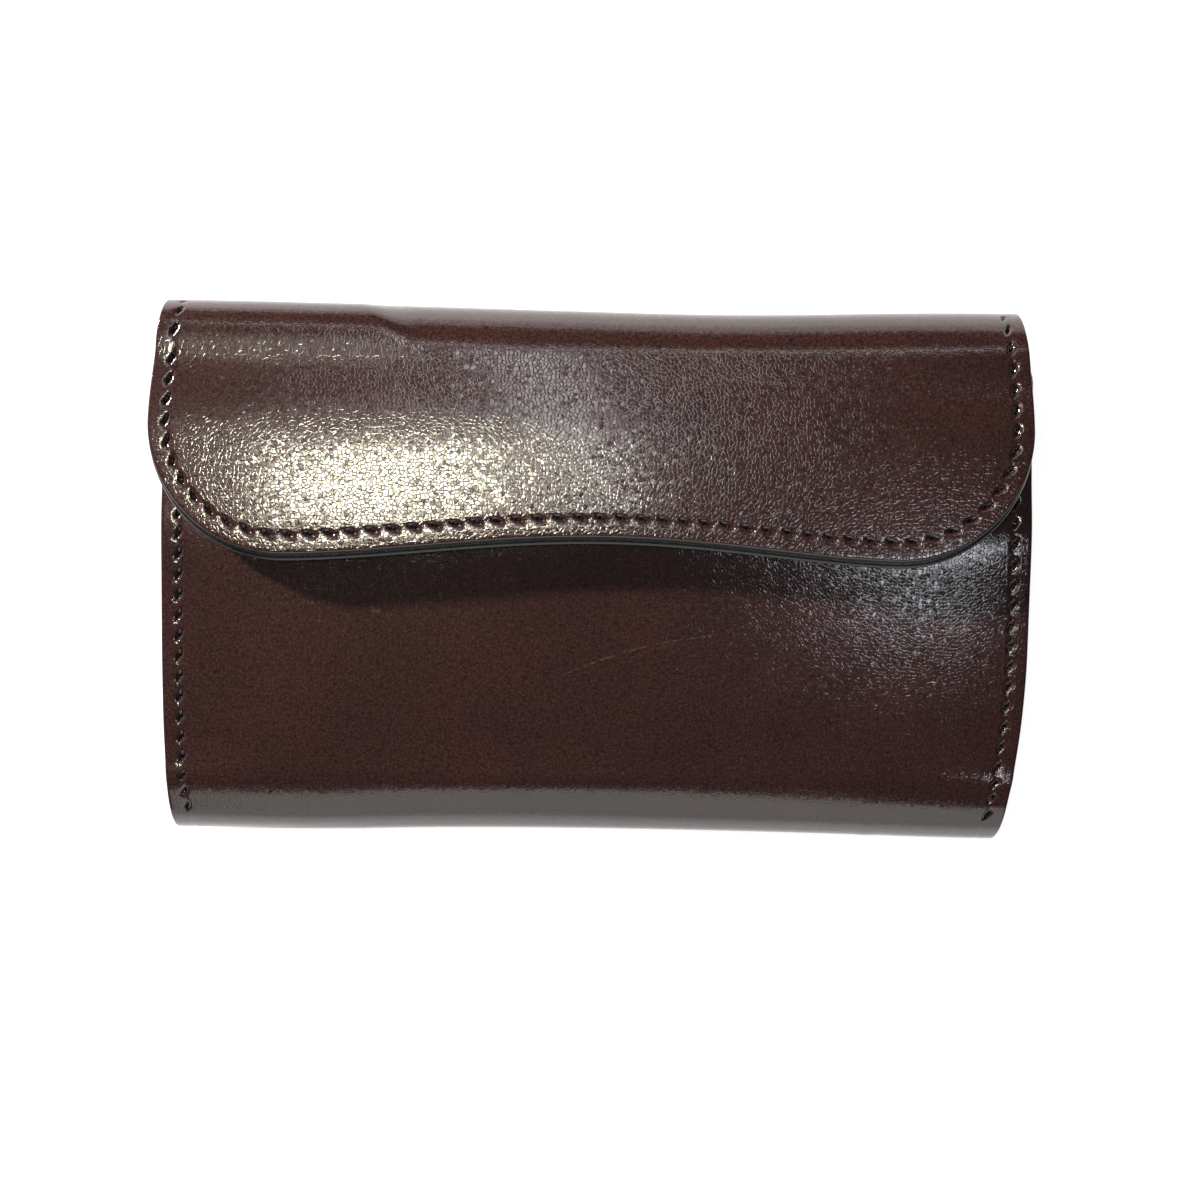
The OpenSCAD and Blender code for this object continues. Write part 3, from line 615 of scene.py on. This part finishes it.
class Look:
    """A Principled material and the nodes that feed it."""

    def __init__(self, name, **values):
        self.material = bpy.data.materials.new(name)
        self.material.use_nodes = True
        self.tree = self.material.node_tree
        self.shader = self.tree.nodes["Principled BSDF"]
        for key, value in values.items():
            self.shader.inputs[key.replace("_", " ")].default_value = value

    def node(self, kind, *inputs, **settings):
        made = self.tree.nodes.new("ShaderNode" + kind)
        for key, value in settings.items():
            setattr(made, key, value)
        for i, value in enumerate(inputs):
            if isinstance(value, bpy.types.NodeSocket):
                self.tree.links.new(value, made.inputs[i])
            elif value is not None:
                made.inputs[i].default_value = value
        return made

    def math(self, operation, a, b=None):
        return self.node("Math", a, b, operation=operation).outputs[0]

    def vector(self, operation, a, b=None):
        return self.node("VectorMath", a, b, operation=operation).outputs[0]

    def dot(self, a, b):
        return self.node("VectorMath", a, tuple(b), operation="DOT_PRODUCT").outputs["Value"]

    def ramp(self, value, *stops):
        """A colour that runs between two stops, each a place and a colour."""
        made = self.node("ValToRGB", value)
        for element, (at, colour) in zip(made.color_ramp.elements, stops):
            element.position = at
            element.color = (*colour, 1)
        return made.outputs[0]

    def span(self, value, low, high, to_low=0.0, to_high=1.0):
        return self.node("MapRange", value, low, high, to_low, to_high).outputs[0]

    def mix(self, share, a, b):
        return self.node("MixRGB", share, a, (*b, 1)).outputs[0]

    def shade(self, colour, factor):
        return self.node("MixRGB", 1.0, colour, factor, blend_type="MULTIPLY").outputs[0]

    def scratch(self, place, start, end, bow, width, strength):
        """How much of a worn line shows: it runs between two flat points, bowed to its left."""
        a, run = Vector((*start, 0)), Vector((*end, 0)) - Vector((*start, 0))
        ahead = run / run.length_squared
        left = Vector((-run.y, run.x, 0)).normalized()
        along = self.math("SUBTRACT", self.dot(place, ahead), a.dot(ahead))
        off = self.math("SUBTRACT", self.dot(place, left), a.dot(left))
        arch = self.math("MULTIPLY", along, self.math("SUBTRACT", 1.0, along))
        off = self.math("SUBTRACT", off, self.math("MULTIPLY", arch, 4 * bow))
        line = self.span(self.math("ABSOLUTE", off), width, width * 0.3)
        ends = self.math("MULTIPLY", self.span(along, 0.0, 0.1), self.span(along, 1.0, 0.9))
        broken = self.span(self.noise(place, 1.3, 3.0), 0.42, 0.6)
        line = self.math("MULTIPLY", line, ends)
        return self.math("MULTIPLY", line, self.math("MULTIPLY", broken, strength))

    def noise(self, place, scale, detail=2.0, rough=0.5):
        made = self.tree.nodes.new("ShaderNodeTexNoise")
        self.tree.links.new(place, made.inputs["Vector"])
        made.inputs["Scale"].default_value = scale
        made.inputs["Detail"].default_value = detail
        made.inputs["Roughness"].default_value = rough
        return made.outputs[0]

    def cells(self, place, scale, feature="F1"):
        made = self.tree.nodes.new("ShaderNodeTexVoronoi")
        made.feature = feature
        self.tree.links.new(place, made.inputs["Vector"])
        made.inputs["Scale"].default_value = scale
        return made

    def flat(self):
        """The flat coordinates in millimetres."""
        return self.node("Attribute", attribute_name="flat").outputs["Vector"]

    def bump(self, height, depth, under=None):
        made = self.tree.nodes.new("ShaderNodeBump")
        made.inputs["Distance"].default_value = depth
        self.tree.links.new(height, made.inputs["Height"])
        if under:
            self.tree.links.new(under, made.inputs["Normal"])
        return made.outputs[0]

    def feed(self, **sockets):
        """Link values to the shader, and give the finished material."""
        for key, value in sockets.items():
            self.tree.links.new(value, self.shader.inputs[key.replace("_", " ")])
        return self.material


CREASE_DEPTH = 0.000007
# WORN is the colour of the worn marks; HOLE_SHADE is painted shade, mixed into the stitch holes.
WORN, HOLE_SHADE = (0.20, 0.13, 0.10), (0.004, 0.003, 0.003)


def leather(name, tones, rough, grain, depth, coat, tilt=0.24, shift=0.0, marks=()):
    """Pebbled leather: flat, shiny tops a little tilted each its own way, and narrow valleys. Grain
    is a pebble's size and shift moves the pattern, in flat millimetres; depth is the valleys', in
    metres."""
    look = Look(name, Coat_Weight=coat, Coat_Roughness=0.11, Coat_IOR=1.8, Specular_IOR_Level=0.05)
    place = look.flat()
    if shift:
        place = look.vector("ADD", place, (shift, shift * 1.7, 0))

    # Pebbles, with wandering borders.
    bend = look.node("TexNoise", place, None, 0.9).outputs[1]
    bent = look.vector("ADD", place, look.vector("MULTIPLY", bend, (grain * 0.8,) * 3))
    pebble = look.cells(bent, 1 / grain).outputs["Color"]
    to_edge = look.cells(bent, 1 / grain, "DISTANCE_TO_EDGE").outputs["Distance"]
    top = look.span(to_edge, 0.0, 0.14)

    # Relief: creases, pebbles over them, and each pebble's own tilt.
    creases = look.bump(look.noise(place, 0.35, 3.0, 0.6), CREASE_DEPTH)
    normal = look.bump(top, depth, creases)
    turn = look.vector("SUBTRACT", pebble, (0.5, 0.5, 0.5))
    cube = look.vector("MULTIPLY", look.vector("MULTIPLY", turn, turn), turn)
    normal = look.vector("ADD", normal, look.vector("MULTIPLY", cube, (tilt,) * 3))
    normal = look.vector("NORMALIZE", normal)

    # Colour: slow changes of tone, painted shade in the valleys between the pebbles (their tops a shade
    # lighter), specks, marks and painted shade in the stitch holes.
    dark, light = tones
    colour = look.ramp(look.noise(place, 0.07, 3.0, 0.55), (0.32, dark), (0.68, light))
    # Painted shade: the valleys between the pebbles are darkened, and the tops a little lightened.
    colour = look.shade(colour, look.span(top, 0.0, 1.0, 0.4, 1.06))
    colour = look.shade(colour, look.span(look.noise(place, 1.7, 2.0), 0.3, 0.7, 0.66, 1.34))
    for mark in marks:
        colour = look.mix(look.scratch(place, *mark), colour, WORN)
    # Painted shade in the stitch holes.
    pit = look.node("Attribute", attribute_name="pit").outputs["Fac"]
    colour = look.mix(look.math("MULTIPLY", pit, 0.9), colour, HOLE_SHADE)
    patch = look.noise(place, 0.16, 4.0, 0.6)
    roughness = look.span(patch, 0.3, 0.7, rough - 0.05, rough + 0.07)
    return look.feed(Base_Color=colour, Roughness=roughness, Normal=normal, Coat_Normal=normal)


def plain(name, colour, rough, scale, metallic=0.0, depth=0.00002, coat=0.0, gloss=0.5):
    """Paint, thread or metal, a little uneven in colour, height and gloss."""
    look = Look(name, Metallic=metallic, Coat_Weight=coat, Coat_Roughness=0.2, Specular_IOR_Level=gloss)
    patch = look.noise(look.flat(), scale, 4.0, 0.6)
    low = tuple(c * 0.75 for c in colour)
    high = tuple(c * 1.2 for c in colour)
    return look.feed(Base_Color=look.ramp(patch, (0.3, low), (0.7, high)),
                     Roughness=look.span(patch, 0.3, 0.7, rough - 0.05, rough + 0.08),
                     Normal=look.bump(patch, depth))


# Marks on the front: start and end across and up the panel, bow, width and strength. They are two
# strokes of one worn line, a pale spot and a speck.
FRONT_ZERO = (BOTTOM_END - BOTTOM_Y) / MM
MARKS = [((-6.0, -16.8), (19.4, -9.6), 1.2, 0.16, 0.45),
         ((2.0, -15.2), (15.0, -10.6), 0.6, 0.10, 0.25),
         ((-36.6, -6.0), (-34.8, -6.3), 0.1, 0.7, 0.35),
         ((-35.6, -17.6), (-34.6, -16.8), 0.05, 0.2, 0.5)]
WEAR = [((x0, FRONT_ZERO + y0), (x1, FRONT_ZERO + y1), *rest) for (x0, y0), (x1, y1), *rest in MARKS]
HIDE_TONES = (0.040, 0.0165, 0.0136), (0.052, 0.0195, 0.0158)
LINING_TONES = (0.030, 0.014, 0.012), (0.046, 0.019, 0.015)
OUTER = leather("outer_grain", HIDE_TONES, 0.50, 0.62, 0.000007, coat=1.0)
RUBBED = leather("outer_grain_rubbed", HIDE_TONES, 0.50, 0.58, 0.000004, coat=1.0, tilt=0.2, marks=WEAR)
INNER = leather("lining_grain", LINING_TONES, 0.46, 0.40, 0.00002, coat=0.08, shift=41.0)
EDGE = plain("edge_paint", (0.016, 0.016, 0.018), 0.28, 1.5, coat=0.6)
FLESH = plain("flesh_side", (0.10, 0.055, 0.036), 0.8, 2.0, depth=0.00008)
THREAD = plain("waxed_thread", (0.10, 0.068, 0.052), 0.75, 9.0, depth=0.00004, gloss=0.15)
BRASS = plain("aged_brass", (0.42, 0.30, 0.16), 0.32, 0.7, metallic=1.0)
STEEL = plain("spring_steel", (0.50, 0.47, 0.43), 0.28, 0.7, metallic=1.0)


# ---- Profiles: rings from the shown side, round the edge, to the hidden side ----
# Each ring has an inset, a height over the grain side, a slot (0 grain, 1 painted edge, 2 flesh side)
# and, where it differs, the height of a stretch that isn't sewn. Sizes are in millimetres.

def rings(*rows):
    return [(a * MM, b * MM, slot, (c[0] if c else b) * MM) for a, b, slot, *c in rows]


FACE = [(4.4, 0, 0), (3.8, 0, 0), (3.45, 0, 0), (3.15, -0.02, 0), (2.85, -0.04, 0),
        (2.55, -0.02, 0), (2.25, 0, 0), (1.5, 0, 0), (0.7, 0, 0), (0.25, 0, 0), (0.06, -0.02, 0)]
HIDE = rings(*FACE, (-0.07, -0.1, 1), (-0.18, -0.35, 1), (-0.28, -0.75, 1), (-0.37, -1.2, 1),
             (-0.43, -1.6, 1), (-0.43, -HIDE_T, 1), (0.2, -HIDE_T, 2), (4.4, -HIDE_T, 2))
SKIN = rings((4.4, -HIDE_T, 2), (0.2, -HIDE_T, 2), (-0.45, 0.01 - HIDE_T, 1),
             (-0.85, -0.03 - HIDE_T, 1), (-1.12, -0.15 - HIDE_T, 1), (-1.28, -0.33 - HIDE_T, 1),
             (-1.3, -0.52 - HIDE_T, 1), (-1.18, 0.12 - BOTH_T, 1), (-0.9, 0.04 - BOTH_T, 0),
             (0.8, -BOTH_T, 0), (2.25, 0.02 - BOTH_T, 0), (2.55, 0.1 - BOTH_T, 0),
             (2.85, 0.15 - BOTH_T, 0), (3.15, 0.1 - BOTH_T, 0), (3.45, 0.02 - BOTH_T, 0),
             (3.8, -BOTH_T, 0), (4.4, -BOTH_T, 0))


def panel_rings(thick, deep):
    """A pocket's sheet: thin at its mouth, and as deep as its spacing strip where it is sewn."""
    return rings((1.93, -0.02, 0), (1.7, -0.1, 0), (1.45, -0.13, 0), (1.2, -0.1, 0),
                 (0.95, -0.02, 0), (0.55, -0.02, 0), (0.2, -0.1, 0), (0.03, -0.28, 1),
                 (0.0, -deep + 0.2, 1, -thick + 0.25), (0.15, -deep, 2, -thick + 0.05),
                 (1.8, -deep, 2, -thick), (1.93, -thick, 2))


# ---- The hide and its lining ----

def within(low, high):
    return lambda points: (points[:, 1] >= low) & (points[:, 1] <= high)


def below(level):
    return lambda points: points[:, 1] < level


def above(level):
    return lambda points: points[:, 1] > level


FLAP_SEWN = within(-1, FLAP_END + 8.6 * MM)
BACK_SEWN = within(TOP_END - 4 * MM, BACK_END + 6 * MM)
FRONT_SEWN = within(BOTTOM_END - 10 * MM, 1)
FLAP_BORDERS = [Border(flap_line(), FLAP_SEWN, reach=edge_reach)]
TOP_BORDERS = [Border(side_line(1, MID_TOP, MID_BACK), BACK_SEWN, reach=edge_reach),
               Border(side_line(-1, MID_BACK, MID_TOP), BACK_SEWN, reach=edge_reach)]
BOTTOM_BORDERS = [Border(side_line(1, MID_BACK, MID_BOTTOM), BACK_SEWN, reach=edge_reach),
                  Border(side_line(-1, MID_BOTTOM, MID_BACK), BACK_SEWN, reach=edge_reach)]
FRONT_BORDERS = [Border(front_line(), FRONT_SEWN, reach=edge_reach)]

# Each sheet of the hide has its borders, its grain and the nodes that it stands for.
SHEETS = {
    "flap": (FLAP_BORDERS, OUTER, ["top_bend_upper", "flap"]),
    "top": (TOP_BORDERS, OUTER, ["top_bend_lower", "top_spine", "back"]),
    "bottom": (BOTTOM_BORDERS, OUTER, ["bottom_bend_lower", "bottom_spine"]),
    "front": (FRONT_BORDERS, RUBBED, ["bottom_bend_upper", "front"]),
}
for key, (borders, grain, nodes) in SHEETS.items():
    for kind, profile, face, slot in (("leather", HIDE, grain, "outer_leather"),
                                      ("lining", SKIN, INNER, "inner_leather")):
        name = key + "_" + kind + "_sheet"
        piece = cut_sheet(name, WALLET, borders, profile, [face, EDGE, FLESH])
        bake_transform(piece)
        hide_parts(*[node + "_" + kind for node in nodes])

# The back's seams have no inner thread: the note pocket's own lies over them. The sides give the
# thread's height over the grain side and the way it faces.
THREADS = (("flap", "outer"), ("flap", "inner"), ("front", "outer"), ("front", "inner"),
           ("top", "outer"), ("bottom", "outer"))
THREAD_SIDES = {"outer": (-0.2 * MM, 1), "inner": ((0.15 - BOTH_T) * MM, -1)}
for key, side in THREADS:
    piece = sew(key + "_thread_" + side, WALLET, SHEETS[key][0], *THREAD_SIDES[side])
    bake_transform(piece)
    if side == "outer" and key in ("flap", "front"):
        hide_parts(key + "_stitching")


# ---- Pockets and the coin flap ----

def panel(name, node, body, facing, thick, deep, bare, stitching=None, upper=PANEL_CORNER, dip=0.0):
    """A flat sheet of leather that stands for a node, with its thread. Bare is the strip without
    stitches, along its upper side, or along its lower one if negative. Upper is the radius of its
    upper corners."""
    low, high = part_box(node)
    sewn = below(high.y - bare) if bare > 0 else above(low.y - bare)
    line = loop_line(((low.x, low.y), (high.x, high.y)), (PANEL_CORNER, upper), PANEL_SEAM, dip)
    border = Border(line, sewn, closed=True, seam=PANEL_SEAM)
    fold = Flat(high.z if facing == 1 else low.z, facing, body == "front")
    profile = panel_rings(thick, deep)
    item = cut_sheet(name, fold, [border], profile, [INNER, EDGE, FLESH], PANEL_CELL)
    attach(item, body)
    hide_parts(node)
    thread = sew(name + "_thread", fold, [border], -0.12 * MM)
    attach(thread, body)
    if stitching:
        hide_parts(stitching)


panel("note_wall_sheet", "note_pocket_wall", "back", 1, 1.2, 2.2, 4 * MM, "back_stitching",
      dip=THUMB_DIP)
CARD_SEAMS = {"card_pocket_front": "card_stitching", "card_pocket_middle": None, "card_pocket_rear": None}
for node, stitching in CARD_SEAMS.items():
    panel(node + "_sheet", node, "front", -1, 0.8, 1.7, 2.5 * MM, stitching)
panel("coin_wall_sheet", "coin_pocket_wall", "back", 1, 1.0, 1.0, -4 * MM, "coin_pocket_stitching")
panel("coin_flap_sheet", "coin_flap_leather", "coin_flap", 1, 0.6, 0.6, -2 * MM,
      "coin_flap_stitching", COIN_FLAP_CORNER)


# ---- Materials of the nodes that stay ----

NODE_LOOKS = {"pocket": INNER, "lining": INNER, "spine": INNER, "stud": BRASS, "post": BRASS,
              "cap": BRASS, "socket": BRASS, "spring": STEEL}
for name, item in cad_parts.items():
    for word, look in NODE_LOOKS.items():
        if word in name:
            for slot in item.material_slots:
                slot.material = look
    mark_flat(item.data, [v.co for v in item.data.vertices])


# ---- Light, floor and camera ----

def lamp(name, place, target, radiance, size, colour=(1, 1, 1)):
    """A soft rectangular light whose face has the given radiance."""
    data = bpy.data.lights.new(name, "AREA")
    data.shape = "RECTANGLE"
    data.size, data.size_y = size
    data.energy = radiance * math.pi * size[0] * size[1]
    data.color = colour
    item = bpy.data.objects.new(name, data)
    item.location = place
    item.rotation_euler = (Vector(target) - Vector(place)).to_track_quat("-Z", "Y").to_euler()
    bpy.context.scene.collection.objects.link(item)


# The key light casts the flap's shadow. Warm, glow and band shine on the flap, cool on the front under
# it, back_strip on the top fold and front_panel on the bottom fold.
MIDDLE = (0, 0, 0.02)
ON_FLAP = (-0.03, 0.02, 0.03)
lamp("key", (-0.54, 0.36, 0.27), MIDDLE, 1650, (0.045, 0.045), (1, 0.95, 0.90))
lamp("warm", (-0.096, 0.045, 0.63), ON_FLAP, 42, (0.052, 0.074), (1, 0.95, 0.72))
lamp("glow", (-0.13, 0.10, 0.634), ON_FLAP, 0.75, (0.22, 0.17), (1, 0.97, 0.90))
lamp("band", (-0.012, 0.18, 0.63), (0, 0.02, 0.03), 4.2, (0.055, 0.34), (0.98, 0.98, 1))
lamp("cool", (0.164, -0.072, 0.624), (0.05, 0, 0.03), 7.0, (0.08, 0.062), (0.88, 0.94, 1))
lamp("back_strip", (0.05, 0.55, 0.80), MIDDLE, 1.6, (0.6, 0.09))
lamp("front_panel", (0.05, -0.8, 0.5), MIDDLE, 1.0, (0.7, 0.6), (1, 0.99, 0.96))

world = bpy.data.worlds.new("surroundings")
bpy.context.scene.world = world
world.use_nodes = True
world.node_tree.nodes["Background"].inputs[0].default_value = (0.022, 0.028, 0.040, 1)


def backdrop_look(name, strength):
    """Grey to the light, so that it keeps the wallet's shadow, and white to the camera."""
    look = Look(name, Roughness=0.9, Base_Color=(0.4, 0.4, 0.4, 1), Emission_Color=(1, 1, 1, 1))
    path = look.node("LightPath")
    seen = look.math("MAXIMUM", path.outputs["Is Camera Ray"], path.outputs["Is Glossy Ray"])
    seen = look.math("MAXIMUM", seen, path.outputs["Is Transmission Ray"])
    return look.feed(Emission_Strength=look.math("MULTIPLY", seen, strength))


def disc(name, height=0.0):
    """The round floor, or the upright wall round it where it has a height."""
    radius, z, count = 5.0, -0.0004, 96
    angles = [2 * math.pi * k / count for k in range(count)]
    points = [(radius * math.cos(a), radius * math.sin(a), z) for a in angles]
    faces = [list(range(count))]
    if height:
        faces = [[k, (k + 1) % count, count + (k + 1) % count, count + k] for k in range(count)]
        points += [(x, y, z + height) for x, y, z in points]
    make(name, points, faces, [WHITE])


WHITE = backdrop_look("backdrop_white", 0.9)
disc("floor")
disc("backdrop", 1.2)

EYE = (-1.28 * MM, 4.70 * MM, 349 * MM)
EYE_TURN = (-1.55, -0.50, 0.78)
camera = bpy.data.cameras.new("camera")
camera.sensor_width = 36
camera.lens = 60.2
camera.clip_start = 0.01
camera.clip_end = 20
eye = bpy.data.objects.new("camera", camera)
eye.location = EYE
eye.rotation_euler = Euler([math.radians(a) for a in EYE_TURN], "XYZ")
bpy.context.scene.collection.objects.link(eye)
bpy.context.scene.camera = eye
bpy.context.scene.view_settings.view_transform = "Standard"
